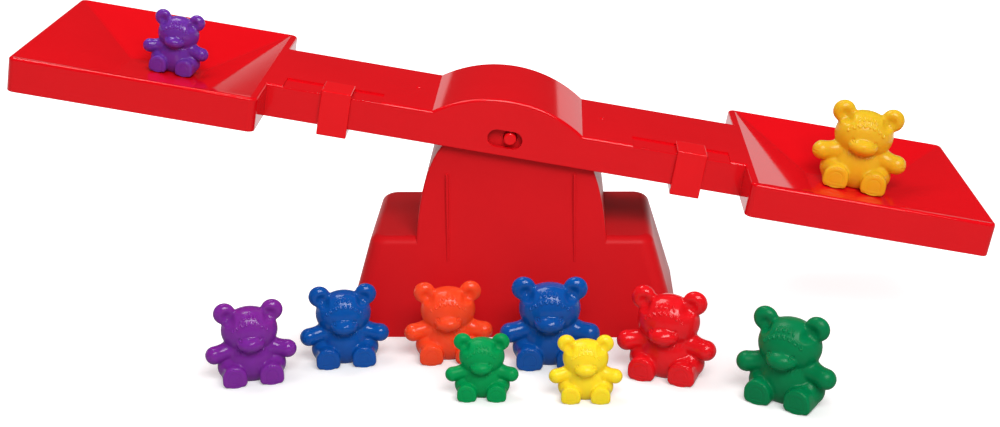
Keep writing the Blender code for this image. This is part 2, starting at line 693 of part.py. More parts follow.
def build_counters():
    """Ten counters: two in the pans and eight on the table in front."""
    meshes = {size: counter_mesh("bear_" + size, height) for size, height in HEIGHTS.items()}
    materials = {name: plastic("bear_" + name, colour, SATIN) for name, colour in COLOURS.items()}
    places = list(pan_places())
    places += row_places(BACK_ROW_SHARES, BACK_ROW_START_SHARE)
    places += row_places(FRONT_ROW_SHARES, FRONT_ROW_START_SHARE)
    for colour, size, place in places:
        bear = bpy.data.objects.new("bear_" + colour + "_" + size, meshes[size].copy())
        PARTS.objects.link(bear)
        bear.matrix_world = place
        bear.data.materials.append(materials[colour])


clear_scene()
PARTS = new_collection("counting_balance_game")
CUTTERS = new_collection("cutters")
build_base()
build_pin()
build_beam()
RIDER_RED = plastic("rider_red", RED, GLOSSY)
build_rider("rider_left", -1, LEFT_RIDER_TRACK_SHARE, RIDER_RED)
build_rider("rider_right", 1, RIGHT_RIDER_TRACK_SHARE, RIDER_RED)
build_counters()
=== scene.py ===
"""Looks of the counting balance game: red beam and stand, two riders, ten bear counters."""

import math

import bmesh
import bpy
import numpy as np
from mathutils import Matrix, Vector


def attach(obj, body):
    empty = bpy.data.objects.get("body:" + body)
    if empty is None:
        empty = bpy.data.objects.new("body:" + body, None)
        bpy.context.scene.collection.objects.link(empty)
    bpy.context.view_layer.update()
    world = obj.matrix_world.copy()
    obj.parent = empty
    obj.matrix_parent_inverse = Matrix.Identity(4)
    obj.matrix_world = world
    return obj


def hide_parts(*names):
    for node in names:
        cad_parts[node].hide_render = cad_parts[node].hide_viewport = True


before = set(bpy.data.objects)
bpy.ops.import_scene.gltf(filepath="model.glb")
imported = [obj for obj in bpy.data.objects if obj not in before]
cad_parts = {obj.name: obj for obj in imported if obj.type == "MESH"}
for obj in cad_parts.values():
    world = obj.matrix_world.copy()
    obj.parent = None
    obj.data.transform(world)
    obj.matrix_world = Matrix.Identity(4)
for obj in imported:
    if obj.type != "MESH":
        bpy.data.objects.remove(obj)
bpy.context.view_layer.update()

# Sizes of the part's source, in metres and degrees
HALF_BEAM = 0.190
PAN_LENGTH = 0.095
PAN_HALF_WIDTH = 0.050
PAN_CORNER_RADIUS = 0.003
PAN_RIM = 0.0014
PAN_INNER_RIM = 0.0028
PAN_DEPTH = 0.0115
PAN_FLOOR_LENGTH = 0.031
PAN_FLOOR_WIDTH = 0.026
HALF_DECK = 0.027
SKIRT_DEPTH = 0.0134
BEAM_WALL = 0.0020
HOOD_HALF_LENGTH = 0.0298
HOOD_RISE = 0.0094
ARM_RIB = 0.0016
ARM_BAYS = 3
DIMPLE_RADIUS = 0.0015
DIMPLE_DEPTH = 0.0003
DIMPLE_FROM_HOOD = 0.0082
DIMPLE_SETBACK = 0.0020
AXIS_HEIGHT = 0.0904
AXIS_ABOVE_DECK = 0.0044
STOP_TILT = 10.3
RIDGE_RADIUS = 0.0015
SADDLE_RADIUS = 0.0018
SADDLE_FLARE = 22.0
SADDLE_HALF_WIDTH = 0.0045
SADDLE_DROP = 0.0020
STOP_FACE = 0.036731
STOP_WEB = 0.0020
PIN_RADIUS = 0.00255
PIN_DROP = 0.0109
PIN_END_SETBACK = 0.0003
SLOT_HALF_LENGTH = 0.0069
SLOT_HALF_HEIGHT = 0.0036
BASE_HALF_LENGTH = 0.0678
BASE_HALF_WIDTH = 0.039
WING_HEIGHT = 0.0391
WING_TOP_HALF_LENGTH = 0.0565
WING_TOP_HALF_WIDTH = 0.029
WING_CORNER_RADIUS = 0.006
WING_EDGE_RADIUS = 0.003
BASE_WALL = 0.0022
BASE_WEB = 0.0024
TOWER_TOP = 0.0845
TOWER_HALF_LENGTH = 0.0390
TOWER_CURVE_POWER = 3.33
TOWER_HEAD_HALF = 0.024
TOWER_FOOT_LEVEL = 0.0355
TOWER_DRAFT_END = 0.0620
TOWER_BLEND = 0.0080
PIN_TUBE_RADIUS = 0.0048
FRONT_RIB_DISTANCE = 0.0254
FRONT_RIB_WIDTH = 0.0011
FRONT_RIB_PROUD = 0.0013
FRONT_RIB_TOP = 0.0645
FRONT_RIB_FOOT = 0.0300
RIDER_LENGTH = 0.0118
RIDER_WALL = 0.0018
RIDER_FOOT = 0.0031
RIDER_GRIP = 0.0118
RIDER_PLACES = {"rider_left": -0.067708, "rider_right": 0.073402}
TRACK_START = 0.050002
TRACK_LENGTH = 0.0390
TRACK_WIDTH = 0.0120
TRACK_DEPTH = 0.0006
HEIGHTS = {"baby": 0.0243, "mother": 0.0308, "father": 0.0344}
GAP = 0.0003
OVERRUN = 0.002
ON_PLANE = 0.00015

# Roundings and facets of the fine pieces
TOP_ROUND = 0.0011
RIM_ROUND = 0.0005
SKIRT_ROUND = 0.0004
ARM_SKIRT_ROUND = 0.00035
CREASE_ROUND = 0.0010
DOME_ROUND = 0.0009
TOWER_STEPS = 96
BLEND_STEPS = 10
ARC_STEPS = 56
CORNER_STEPS = 12
ROUND_STEPS = 14
SMOOTH_BELOW = 9.0
FLAT_FACE_WEIGHT = 80
CREASE_STEPS = 4
SHARP_ABOVE = 60.0
BEAM_SHARP_ABOVE = 50.0
FRONT_RIB_ROUND = 0.4 * FRONT_RIB_WIDTH
PIN_ROUND = 0.0008

PAN_START = HALF_BEAM - PAN_LENGTH
PAN_MIDDLE = HALF_BEAM - PAN_LENGTH / 2
DECK_LEVEL = -AXIS_ABOVE_DECK
SKIRT_LEVEL = DECK_LEVEL - SKIRT_DEPTH
BAY_HALF = HALF_DECK - BEAM_WALL
TILT = math.radians(STOP_TILT)
BEAM_PLACE = Matrix.Translation((0, 0, AXIS_HEIGHT)) @ Matrix.Rotation(TILT, 4, "Y")
PIN_HEIGHT = AXIS_HEIGHT - PIN_DROP
SEEN_FROM_FRONT = Matrix.Rotation(math.radians(90), 4, "X")
SEEN_FROM_END = Matrix.Rotation(math.radians(90), 4, "Z") @ SEEN_FROM_FRONT


# Making and finishing forms

def box(low, high):
    """A box between two corners."""
    form = bmesh.new()
    bmesh.ops.create_cube(form, size=1)
    low = Vector(low)
    high = Vector(high)
    bmesh.ops.scale(form, vec=high - low, verts=form.verts)
    bmesh.ops.translate(form, vec=(low + high) / 2, verts=form.verts)
    return form


def round_off(form, chosen, radius, steps=ROUND_STEPS):
    """Round some edges of a form."""
    bmesh.ops.bevel(form, geom=chosen, offset=radius, segments=steps, profile=0.5,
                    affect="EDGES", material=-1)


def sharp_edges(form, degrees, wanted=None):
    """The edges that turn more than an angle, of those wanted."""
    limit = math.radians(degrees)
    found = []
    for edge in form.edges:
        if len(edge.link_faces) == 2 and edge.calc_face_angle(0) > limit:
            if wanted is None or wanted(edge):
                found.append(edge)
    return found


def above(level):
    """A test for edges that lie wholly above a level."""
    return lambda edge: min(vert.co.z for vert in edge.verts) > level


def below(level):
    """A test for edges that lie wholly below a level."""
    return lambda edge: max(vert.co.z for vert in edge.verts) < level


def upright(edge):
    """Whether an edge rises more than it runs sideways."""
    first, second = (vert.co for vert in edge.verts)
    return abs(first.z - second.z) > (first.xy - second.xy).length


def mesh_of(form, name):
    """A form as a mesh; the form goes."""
    mesh = bpy.data.meshes.new(name)
    form.to_mesh(mesh)
    form.free()
    return mesh


def in_scene(name, data):
    """A new object of the scene."""
    made = bpy.data.objects.new(name, data)
    bpy.context.scene.collection.objects.link(made)
    return made


def discard(piece):
    """Remove an object and its mesh."""
    mesh = piece.data
    bpy.data.objects.remove(piece, do_unlink=True)
    bpy.data.meshes.remove(mesh)


def taken_out(piece):
    """What an object shows, as a form; the object goes."""
    bpy.context.view_layer.update()
    seen = piece.evaluated_get(bpy.context.evaluated_depsgraph_get())
    mesh = bpy.data.meshes.new_from_object(seen)
    form = bmesh.new()
    form.from_mesh(mesh)
    bpy.data.meshes.remove(mesh)
    discard(piece)
    return form


def draft(form):
    """A form as an object to work on."""
    return in_scene("draft", mesh_of(form, "draft"))


def combined(target, other, operation):
    """One form cut by another, or joined to it."""
    first = draft(target)
    second = draft(other)
    step = first.modifiers.new("combine", "BOOLEAN")
    step.operation = operation
    step.solver = "EXACT"
    step.object = second
    form = taken_out(first)
    discard(second)
    return form


def merged(forms):
    """Several forms that don't touch, as one."""
    whole = bmesh.new()
    for form in forms:
        mesh = mesh_of(form, "part")
        whole.from_mesh(mesh)
        bpy.data.meshes.remove(mesh)
    return whole


def outline_prism(points, thickness, turn):
    """A flat outline given a thickness."""
    form = bmesh.new()
    rim = [form.verts.new((across, up, -thickness / 2)) for across, up in points]
    cap = form.faces.new(rim)
    raised = bmesh.ops.extrude_face_region(form, geom=[cap])
    moved = [part for part in raised["geom"] if isinstance(part, bmesh.types.BMVert)]
    bmesh.ops.translate(form, vec=(0, 0, thickness), verts=moved)
    bmesh.ops.transform(form, matrix=turn, verts=form.verts)
    bmesh.ops.recalc_face_normals(form, faces=form.faces)
    return form


def arc(centre, radius, start, stop, steps):
    """Points along a circle from one angle to another, both in degrees."""
    points = []
    for step in range(steps + 1):
        angle = math.radians(start + (stop - start) * step / steps)
        points.append((centre[0] + radius * math.cos(angle),
                       centre[1] + radius * math.sin(angle)))
    return points


def bar_along_y(radius, length, centre):
    """A round bar from front to back."""
    form = bmesh.new()
    bmesh.ops.create_cone(form, cap_ends=True, segments=ARC_STEPS, radius1=radius, radius2=radius,
                          depth=length)
    bmesh.ops.rotate(form, matrix=SEEN_FROM_FRONT.to_3x3(), verts=form.verts)
    bmesh.ops.translate(form, vec=centre, verts=form.verts)
    return form


def half_turn(form, side):
    """Turn a form half round the upright axis where its side is -1."""
    if side < 0:
        bmesh.ops.rotate(form, matrix=Matrix.Rotation(math.pi, 3, "Z"), verts=form.verts)
    return form


def finished(name, form, material, place=None):
    """Put a form in the scene, its place in its mesh; its roundings look smooth, its flats flat."""
    if place:
        bmesh.ops.transform(form, matrix=place, verts=form.verts)
    mesh = mesh_of(form, name)
    mesh.polygons.foreach_set("use_smooth", [True] * len(mesh.polygons))
    mesh.set_sharp_from_angle(angle=math.radians(SMOOTH_BELOW))
    mesh.materials.append(material)
    piece = in_scene(name, mesh)
    weigh = piece.modifiers.new("shading", "WEIGHTED_NORMAL")
    weigh.keep_sharp = True
    weigh.weight = FLAT_FACE_WEIGHT
    return piece


def put(piece, body, node):
    """Hang a piece on its body, in place of its CAD node."""
    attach(piece, body)
    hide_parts(node)


# Materials

CLOUD_SCALE = 38.0
CLOUD_DETAIL = 3.0
CLOUD_ROUGHNESS = 0.55
CLOUD_ENDS = (0.3, 0.7)
GLOSS_SPREAD = (0.85, 1.2)
GRAIN_SCALE = 950.0
GRAIN_DETAIL = 2.0
GRAIN_STRENGTH = 0.10
GRAIN_HEIGHT = 0.00003
INNER_DEPTH = 0.0026
MIX_COLOUR_A = 6
MIX_COLOUR_B = 7
MIX_COLOUR_RESULT = 2


def feed(tree, socket, source):
    """Give a socket a value, or link another node's output to it."""
    if isinstance(source, bpy.types.NodeSocket):
        tree.links.new(source, socket)
    else:
        socket.default_value = source


def node(tree, kind, **values):
    """Add one shader node; a value feeds the input of its name, or is a setting."""
    made = tree.nodes.new(kind)
    for name, value in values.items():
        spoken = name.replace("_", " ")
        if spoken in made.inputs:
            feed(tree, made.inputs[spoken], value)
        else:
            setattr(made, name, value)
    return made


def calculated(tree, operation, *sources, kind="ShaderNodeMath"):
    """What a math node makes of its sources, in turn."""
    made = node(tree, kind, operation=operation)
    for socket, source in zip(made.inputs, sources):
        feed(tree, socket, source)
    return made.outputs["Value"]


def between(tree, share, low, high):
    """A number that a share places between two others."""
    return node(tree, "ShaderNodeMix", Factor=share, A=low, B=high).outputs[0]


def ranged(tree, number, ends, levels):
    """A number brought from between two ends to between two levels."""
    made = node(tree, "ShaderNodeMapRange", Value=number, From_Min=ends[0], From_Max=ends[1],
                To_Min=levels[0], To_Max=levels[1])
    return made.outputs["Result"]


def mirrored(tree, path):
    """1 on rays that were reflected or went through something, 0 on others."""
    return calculated(tree, "MAXIMUM", path["Is Glossy Ray"], path["Is Transmission Ray"])


def shaded(name, make_inputs):
    """A material whose shader is fed by a function of its node tree."""
    material = bpy.data.materials.new(name)
    material.use_nodes = True
    tree = material.node_tree
    for socket, source in make_inputs(tree).items():
        feed(tree, tree.nodes["Principled BSDF"].inputs[socket], source)
    return material


def moulded_plastic(name, colour, shade, roughness, ior=1.36, inner=0, inner_radius=(1, 1, 1)):
    """Moulded plastic: faint flow clouds in the colour, an uneven gloss and a fine skin."""
    def make_inputs(tree):
        place = node(tree, "ShaderNodeTexCoord").outputs["Object"]
        clouds = node(tree, "ShaderNodeTexNoise", Vector=place, Scale=CLOUD_SCALE,
                      Detail=CLOUD_DETAIL, Roughness=CLOUD_ROUGHNESS).outputs["Fac"]
        tint = node(tree, "ShaderNodeMix", data_type="RGBA",
                    Factor=ranged(tree, clouds, CLOUD_ENDS, (0, 1)))
        tint.inputs[MIX_COLOUR_A].default_value = (*colour, 1)
        tint.inputs[MIX_COLOUR_B].default_value = (*shade, 1)
        gloss = ranged(tree, clouds, (0, 1), [share * roughness for share in GLOSS_SPREAD])
        grain = node(tree, "ShaderNodeTexNoise", Vector=place, Scale=GRAIN_SCALE,
                     Detail=GRAIN_DETAIL)
        relief = node(tree, "ShaderNodeBump", Height=grain.outputs["Fac"],
                      Strength=GRAIN_STRENGTH, Distance=GRAIN_HEIGHT)
        return {"Base Color": tint.outputs[MIX_COLOUR_RESULT], "Roughness": gloss, "IOR": ior,
                "Normal": relief.outputs["Normal"], "Subsurface Weight": inner,
                "Subsurface Radius": inner_radius, "Subsurface Scale": INNER_DEPTH}

    return shaded(name, make_inputs)


BEAM_RED = moulded_plastic("beam_red", (0.775, 0.0032, 0.0082), (0.745, 0.0028, 0.0074), 0.06,
                           ior=1.42)
# The stand's red is the beam's red made darker: painted shade for the beam above it. Its satin
# gloss is its own.
STAND_RED_PAINTED_SHADE = moulded_plastic("stand_red_painted_shade", (0.68, 0.0090, 0.0135), (0.65, 0.0084, 0.0125), 0.34,
                            ior=1.19)
RIDER_RED = moulded_plastic("rider_red", (0.86, 0.0065, 0.0110), (0.83, 0.0060, 0.0100), 0.08)

# Each bear plastic: its tone and its deeper tone, then roughness, IOR, the share of light that
# goes into it and how far each colour of that light goes
BEAR_COLOURS = {
    "purple": ((0.205, 0.022, 0.33), (0.25, 0.026, 0.32), 0.14, 1.40, 0.50, (1.0, 0.20, 0.7)),
    # The purple baby in the pan: the purple made bluer, a painted counter to the red light the pan
    # bounces onto it
    "purple_baby": ((0.135, 0.030, 0.37), (0.165, 0.034, 0.36), 0.14, 1.40, 0.40, (0.8, 0.20, 0.8)),
    "blue": ((0.002, 0.090, 0.40), (0.004, 0.078, 0.36), 0.12, 1.40, 0.20, (0.4, 0.6, 1.0)),
    "orange": ((1.0, 0.080, 0.020), (0.98, 0.070, 0.018), 0.20, 1.36, 0.60, (1.0, 0.30, 0.12)),
    "green": ((0, 0.32, 0.082), (0, 0.29, 0.074), 0.34, 1.22, 0.20, (0.3, 1.0, 0.5)),
    "green_father": ((0, 0.205, 0.066), (0, 0.185, 0.060), 0.30, 1.26, 0.20, (0.3, 1.0, 0.5)),
    "yellow": ((1.0, 0.73, 0.022), (1.0, 0.69, 0.018), 0.30, 1.34, 0.50, (1.0, 0.60, 0.12)),
    # The yellow father in the pan: the yellow made darker and oranger, painted shade and painted
    # red bounce from the pan
    "yellow_father": ((0.80, 0.50, 0.018), (0.77, 0.46, 0.015), 0.24, 1.38, 0.40, (1, 0.50, 0.12)),
    "red": ((0.80, 0.0090, 0.0150), (0.76, 0.008, 0.013), 0.14, 1.40, 0.30, (1.0, 0.15, 0.15)),
}
BEAR_PLASTICS = {colour: moulded_plastic("bear_" + colour, *values)
                 for colour, values in BEAR_COLOURS.items()}


# Base

def wing_half_width(height):
    """Half the base's width from front to back at a height: its front and back slope."""
    slope_run = BASE_HALF_WIDTH - WING_TOP_HALF_WIDTH
    return WING_TOP_HALF_WIDTH + slope_run * (1 - height / WING_HEIGHT)


def tower_lean(height):
    """How far the tower's face at a height stands out from its head's face, in a smooth bend."""
    foot_lean = wing_half_width(TOWER_FOOT_LEVEL) - TOWER_HEAD_HALF
    slope = foot_lean / (TOWER_DRAFT_END - TOWER_FOOT_LEVEL)
    below_end = TOWER_DRAFT_END - height
    if below_end > TOWER_BLEND:
        return slope * below_end
    return slope * max(below_end + TOWER_BLEND, 0) ** 2 / (4 * TOWER_BLEND)


def wing_block(wall):
    """The low sloping part of the base, or with a wall thickness its inside."""
    form = box((-BASE_HALF_LENGTH, -BASE_HALF_WIDTH, 0),
               (BASE_HALF_LENGTH, BASE_HALF_WIDTH, WING_HEIGHT))
    for vert in form.verts:
        if vert.co.z > WING_HEIGHT / 2:
            vert.co.x = math.copysign(WING_TOP_HALF_LENGTH, vert.co.x)
            vert.co.y = math.copysign(WING_TOP_HALF_WIDTH, vert.co.y)
        vert.co.x -= math.copysign(wall, vert.co.x)
        vert.co.y -= math.copysign(wall, vert.co.y)
    round_off(form, [edge for edge in form.edges if upright(edge)], WING_CORNER_RADIUS - wall)
    if wall:
        for vert in form.verts:
            vert.co.z -= wall if vert.co.z > WING_HEIGHT / 2 else OVERRUN
    else:
        on_top = above(WING_HEIGHT - GAP)
        round_off(form, [edge for edge in form.edges if on_top(edge)], WING_EDGE_RADIUS)
    return form


def tower_block(wall):
    """The domed upright part of the base, or with a wall thickness its inside."""
    foot = WING_EDGE_RADIUS + GAP
    rim = []
    for step in range(1, TOWER_STEPS):
        angle = math.pi * step / TOWER_STEPS
        share = abs(math.cos(angle)) ** (2 / TOWER_CURVE_POWER)
        across = math.copysign((TOWER_HALF_LENGTH - wall) * share, math.cos(angle))
        rim.append((across, (TOWER_TOP - wall) * math.sin(angle) ** (2 / TOWER_CURVE_POWER)))
    points = [(TOWER_HALF_LENGTH - wall, foot)] + rim + [(wall - TOWER_HALF_LENGTH, foot)]
    form = outline_prism(points, 2 * (TOWER_HEAD_HALF - wall), SEEN_FROM_FRONT)
    if not wall:
        dome = sharp_edges(form, SHARP_ABOVE, lambda edge: not below(2 * foot)(edge))
        round_off(form, dome, DOME_ROUND)
    for step in range(BLEND_STEPS + 1):
        level = TOWER_DRAFT_END + TOWER_BLEND * (2 * step / BLEND_STEPS - 1)
        whole = form.verts[:] + form.edges[:] + form.faces[:]
        bmesh.ops.bisect_plane(form, geom=whole, dist=ON_PLANE, plane_co=(0, 0, level),
                               plane_no=(0, 0, 1))
    for vert in form.verts:
        vert.co.y += math.copysign(tower_lean(vert.co.z), vert.co.y)
    return form


def front_rib(side, face):
    """One of the slim upright ribs of the tower, which sinks into the slope below it."""
    front_at_top = TOWER_HEAD_HALF + FRONT_RIB_PROUD
    lean = wing_half_width(FRONT_RIB_FOOT) + GAP - front_at_top
    form = box((-FRONT_RIB_WIDTH / 2, TOWER_HEAD_HALF - OVERRUN / 2, FRONT_RIB_FOOT),
               (FRONT_RIB_WIDTH / 2, front_at_top, FRONT_RIB_TOP))
    for vert in form.verts:
        if vert.co.z < TOWER_DRAFT_END:
            vert.co.y += lean
    outer = [edge for edge in form.edges if min(v.co.y for v in edge.verts) > TOWER_HEAD_HALF]
    outer = [edge for edge in outer if upright(edge) or above(TOWER_DRAFT_END)(edge)]
    round_off(form, outer, FRONT_RIB_ROUND)
    bmesh.ops.translate(form, vec=(side * FRONT_RIB_DISTANCE, 0, 0), verts=form.verts)
    return half_turn(form, face)


def base_form():
    """The hollow moulding that stands on the table and carries the ridge."""
    base = combined(wing_block(0), tower_block(0), "UNION")
    ridge = [(-RIDGE_RADIUS, TOWER_TOP - OVERRUN), (RIDGE_RADIUS, TOWER_TOP - OVERRUN)]
    ridge += arc((0, AXIS_HEIGHT), RIDGE_RADIUS, 0, 180, 2 * CORNER_STEPS)
    ridge = outline_prism(ridge, 2 * (TOWER_HEAD_HALF - GAP), SEEN_FROM_FRONT)
    base = combined(base, ridge, "UNION")
    ribs = merged([front_rib(side, face) for side in (-1, 1) for face in (-1, 1)])
    base = combined(base, ribs, "UNION")
    hollow = combined(wing_block(BASE_WALL), tower_block(BASE_WALL), "UNION")
    reach = 2 * BASE_HALF_LENGTH
    long_web = box((-reach, -BASE_WEB / 2, -reach), (reach, BASE_WEB / 2, reach))
    hollow = combined(hollow, long_web, "DIFFERENCE")
    for side in (-1, 1):
        middle = side * FRONT_RIB_DISTANCE
        cross = box((middle - BASE_WEB / 2, -reach, -reach), (middle + BASE_WEB / 2, reach, reach))
        hollow = combined(hollow, cross, "DIFFERENCE")
    tube = bar_along_y(PIN_TUBE_RADIUS, reach, (0, 0, PIN_HEIGHT))
    hollow = combined(hollow, tube, "DIFFERENCE")
    base = combined(base, hollow, "DIFFERENCE")
    bore = bar_along_y(PIN_RADIUS + GAP, reach, (0, 0, PIN_HEIGHT))
    return combined(base, bore, "DIFFERENCE")


base = finished("base_moulding", base_form(), STAND_RED_PAINTED_SHADE)
put(base, "stand", "base")


# Pin

def pin_form():
    """The pivot pin with rounded ends."""
    length = 2 * (HALF_DECK - PIN_END_SETBACK)
    form = bar_along_y(PIN_RADIUS, length, (0, 0, PIN_HEIGHT))
    round_off(form, sharp_edges(form, SHARP_ABOVE), PIN_ROUND)
    return form


pin = finished("pivot_pin_turned", pin_form(), RIDER_RED)
put(pin, "stand", "pivot_pin")


# Beam, drawn round its own tilting axis

def hood_arc(wall):
    """The arch over the pivot, from its right foot to its left, less a wall thickness."""
    radius = (HOOD_HALF_LENGTH ** 2 + HOOD_RISE ** 2) / (2 * HOOD_RISE)
    centre = (0, DECK_LEVEL + HOOD_RISE - radius)
    spread = math.degrees(math.asin(HOOD_HALF_LENGTH / radius))
    if wall:
        spread = math.degrees(math.acos((DECK_LEVEL - wall - centre[1]) / (radius - wall)))
    return arc(centre, radius - wall, 90 - spread, 90 + spread, ARC_STEPS)


def round_top_and_skirt(form, skirt_round, wanted):
    """Round the upper and the lower edges of an outer form, of those wanted."""
    for at_level, radius in ((above(DECK_LEVEL - GAP), TOP_ROUND),
                             (below(SKIRT_LEVEL + GAP), skirt_round)):
        chosen = sharp_edges(form, BEAM_SHARP_ABOVE, lambda edge: at_level(edge) and wanted(edge))
        round_off(form, chosen, radius)
    return form


def arms_and_hood():
    """Both arms and the hood between them, in one outline seen from the front."""
    reach = PAN_START + OVERRUN
    outline = [(reach, SKIRT_LEVEL), (reach, DECK_LEVEL)] + hood_arc(0)
    outline += [(-reach, DECK_LEVEL), (-reach, SKIRT_LEVEL)]
    form = outline_prism(outline, 2 * HALF_DECK, SEEN_FROM_FRONT)
    return round_top_and_skirt(form, ARM_SKIRT_ROUND,
                               lambda edge: abs(edge.verts[0].co.y - edge.verts[1].co.y) < GAP)


def pan_block(side):
    """The outer block of one pan, its edges rounded."""
    form = box((PAN_START, -PAN_HALF_WIDTH, SKIRT_LEVEL), (HALF_BEAM, PAN_HALF_WIDTH, DECK_LEVEL))
    round_off(form, [edge for edge in form.edges if upright(edge)], PAN_CORNER_RADIUS)
    return half_turn(round_top_and_skirt(form, SKIRT_ROUND, lambda edge: True), side)


def dish(side, wall):
    """The four-sided hollow of one pan, or with a wall thickness its underside."""
    half = PAN_HALF_WIDTH - PAN_RIM
    form = box((PAN_START + PAN_INNER_RIM, -half, DECK_LEVEL - PAN_DEPTH),
               (HALF_BEAM - PAN_RIM, half, DECK_LEVEL))
    slope_run = half - PAN_FLOOR_WIDTH / 2
    grow = 1 + OVERRUN / PAN_DEPTH
    for vert in form.verts:
        low_x = PAN_MIDDLE + math.copysign(PAN_FLOOR_LENGTH / 2, vert.co.x - PAN_MIDDLE)
        low = Vector((low_x, math.copysign(PAN_FLOOR_WIDTH / 2, vert.co.y), DECK_LEVEL - PAN_DEPTH))
        if vert.co.z < DECK_LEVEL - PAN_DEPTH / 2:
            vert.co = low
        elif not wall:
            vert.co = low + (vert.co - low) * grow
        if wall:
            vert.co.z -= wall * math.hypot(slope_run, PAN_DEPTH) / slope_run
    if not wall:
        creases = [edge for edge in form.edges if not above(DECK_LEVEL)(edge)]
        round_off(form, creases, CREASE_ROUND, CREASE_STEPS)
    return half_turn(form, side)


def sided_box(side, inner, outer, half_width, low, high):
    """A box on one arm, between two distances from the axis."""
    near, far = sorted((side * inner, side * outer))
    return box((near, -half_width, low), (far, half_width, high))


def saddle_outline():
    """The bay over the tower seen from the front, with the saddle hanging from its roof."""
    floor = SKIRT_LEVEL - OVERRUN
    roof = hood_arc(BEAM_WALL)
    right = [point for point in roof if point[0] > SADDLE_HALF_WIDTH + GAP]
    left = [point for point in roof if point[0] < -SADDLE_HALF_WIDTH - GAP]
    flare = math.radians(SADDLE_FLARE)
    mouth = SADDLE_RADIUS / math.cos(flare) + SADDLE_DROP * math.tan(flare)
    notch = arc((0, 0), SADDLE_RADIUS, -SADDLE_FLARE, 180 + SADDLE_FLARE, 2 * CORNER_STEPS)
    points = [(STOP_FACE, floor), (STOP_FACE, DECK_LEVEL - BEAM_WALL)] + right
    points += [(SADDLE_HALF_WIDTH, right[-1][1]), (SADDLE_HALF_WIDTH, -SADDLE_DROP),
               (mouth, -SADDLE_DROP)]
    points += notch
    points += [(-mouth, -SADDLE_DROP), (-SADDLE_HALF_WIDTH, -SADDLE_DROP),
               (-SADDLE_HALF_WIDTH, left[0][1])]
    return points + left + [(-STOP_FACE, DECK_LEVEL - BEAM_WALL), (-STOP_FACE, floor)]


def pan_underside(side):
    """The space under one pan, inside its skirt and below its dish."""
    under = sided_box(side, PAN_START + BEAM_WALL, HALF_BEAM - BEAM_WALL,
                      PAN_HALF_WIDTH - BEAM_WALL, SKIRT_LEVEL - OVERRUN,
                      DECK_LEVEL - BEAM_WALL - 2 * GAP)
    return combined(under, dish(side, BEAM_WALL), "DIFFERENCE")


def arm_bays(side):
    """The spaces between the ribs under one arm."""
    start = STOP_FACE + STOP_WEB
    bay = (PAN_START - start - (ARM_BAYS - 1) * ARM_RIB) / ARM_BAYS
    forms = []
    for number in range(ARM_BAYS):
        bay_start = start + number * (bay + ARM_RIB)
        forms.append(sided_box(side, bay_start, bay_start + bay, BAY_HALF, SKIRT_LEVEL - OVERRUN,
                               DECK_LEVEL - BEAM_WALL))
    return forms


def track_and_dimple(side):
    """The shallow rider track and the round dimple on top of one arm."""
    track = sided_box(side, TRACK_START, TRACK_START + TRACK_LENGTH, HALF_DECK + OVERRUN,
                      DECK_LEVEL - TRACK_DEPTH, DECK_LEVEL + OVERRUN)
    for vert in track.verts:
        vert.co.y = min(vert.co.y, TRACK_WIDTH - HALF_DECK)
    dimple = bmesh.new()
    bmesh.ops.create_cone(dimple, cap_ends=True, segments=2 * CORNER_STEPS,
                          radius1=DIMPLE_RADIUS / 2, radius2=DIMPLE_RADIUS, depth=2 * DIMPLE_DEPTH)
    middle = side * (HOOD_HALF_LENGTH + DIMPLE_FROM_HOOD)
    bmesh.ops.translate(dimple, vec=(middle, DIMPLE_SETBACK, DECK_LEVEL), verts=dimple.verts)
    return [track, dimple]


def beam_form():
    """One moulding: two pans, two arms and the arched hood, hollow underneath."""
    saddle = outline_prism(saddle_outline(), 2 * BAY_HALF, SEEN_FROM_FRONT)
    beam = combined(arms_and_hood(), saddle, "DIFFERENCE")
    reach = SLOT_HALF_LENGTH - SLOT_HALF_HEIGHT
    slot = arc((reach, -PIN_DROP), SLOT_HALF_HEIGHT, -90, 90, 2 * CORNER_STEPS)
    slot += arc((-reach, -PIN_DROP), SLOT_HALF_HEIGHT, 90, 270, 2 * CORNER_STEPS)
    slot = outline_prism(slot, 2 * (HALF_DECK + OVERRUN), SEEN_FROM_FRONT)
    beam = combined(beam, slot, "DIFFERENCE")
    beam = combined(beam, merged([pan_block(side) for side in (-1, 1)]), "UNION")
    beam = combined(beam, merged([dish(side, 0) for side in (-1, 1)]), "DIFFERENCE")
    hollows = [pan_underside(side) for side in (-1, 1)] + arm_bays(-1) + arm_bays(1)
    beam = combined(beam, merged(hollows), "DIFFERENCE")
    return combined(beam, merged(track_and_dimple(-1) + track_and_dimple(1)), "DIFFERENCE")


beam = finished("beam_moulding", beam_form(), BEAM_RED, BEAM_PLACE)
put(beam, "beam", "beam")


# Riders

def rider_form():
    """One sliding weight clip in its C-shaped section, edges rounded."""
    face = -HALF_DECK - GAP
    top = DECK_LEVEL - TRACK_DEPTH + GAP
    foot = SKIRT_LEVEL - GAP
    lip_end = TRACK_WIDTH - HALF_DECK - GAP
    hook_end = face - RIDER_WALL + RIDER_GRIP
    outline = [(lip_end, top), (lip_end, top + RIDER_WALL), (face - RIDER_WALL, top + RIDER_WALL),
               (face - RIDER_WALL, foot - RIDER_FOOT), (hook_end, foot - RIDER_FOOT),
               (hook_end, foot), (face, foot), (face, top)]
    form = outline_prism(outline, RIDER_LENGTH, SEEN_FROM_END)
    round_off(form, sharp_edges(form, SHARP_ABOVE), RIM_ROUND, CORNER_STEPS // 2)
    return form


for name, along in RIDER_PLACES.items():
    place = BEAM_PLACE @ Matrix.Translation((along, 0, 0))
    rider = finished(name + "_clip", rider_form(), RIDER_RED, place)
    put(rider, name, name)


# Bear counters, in shares of their height

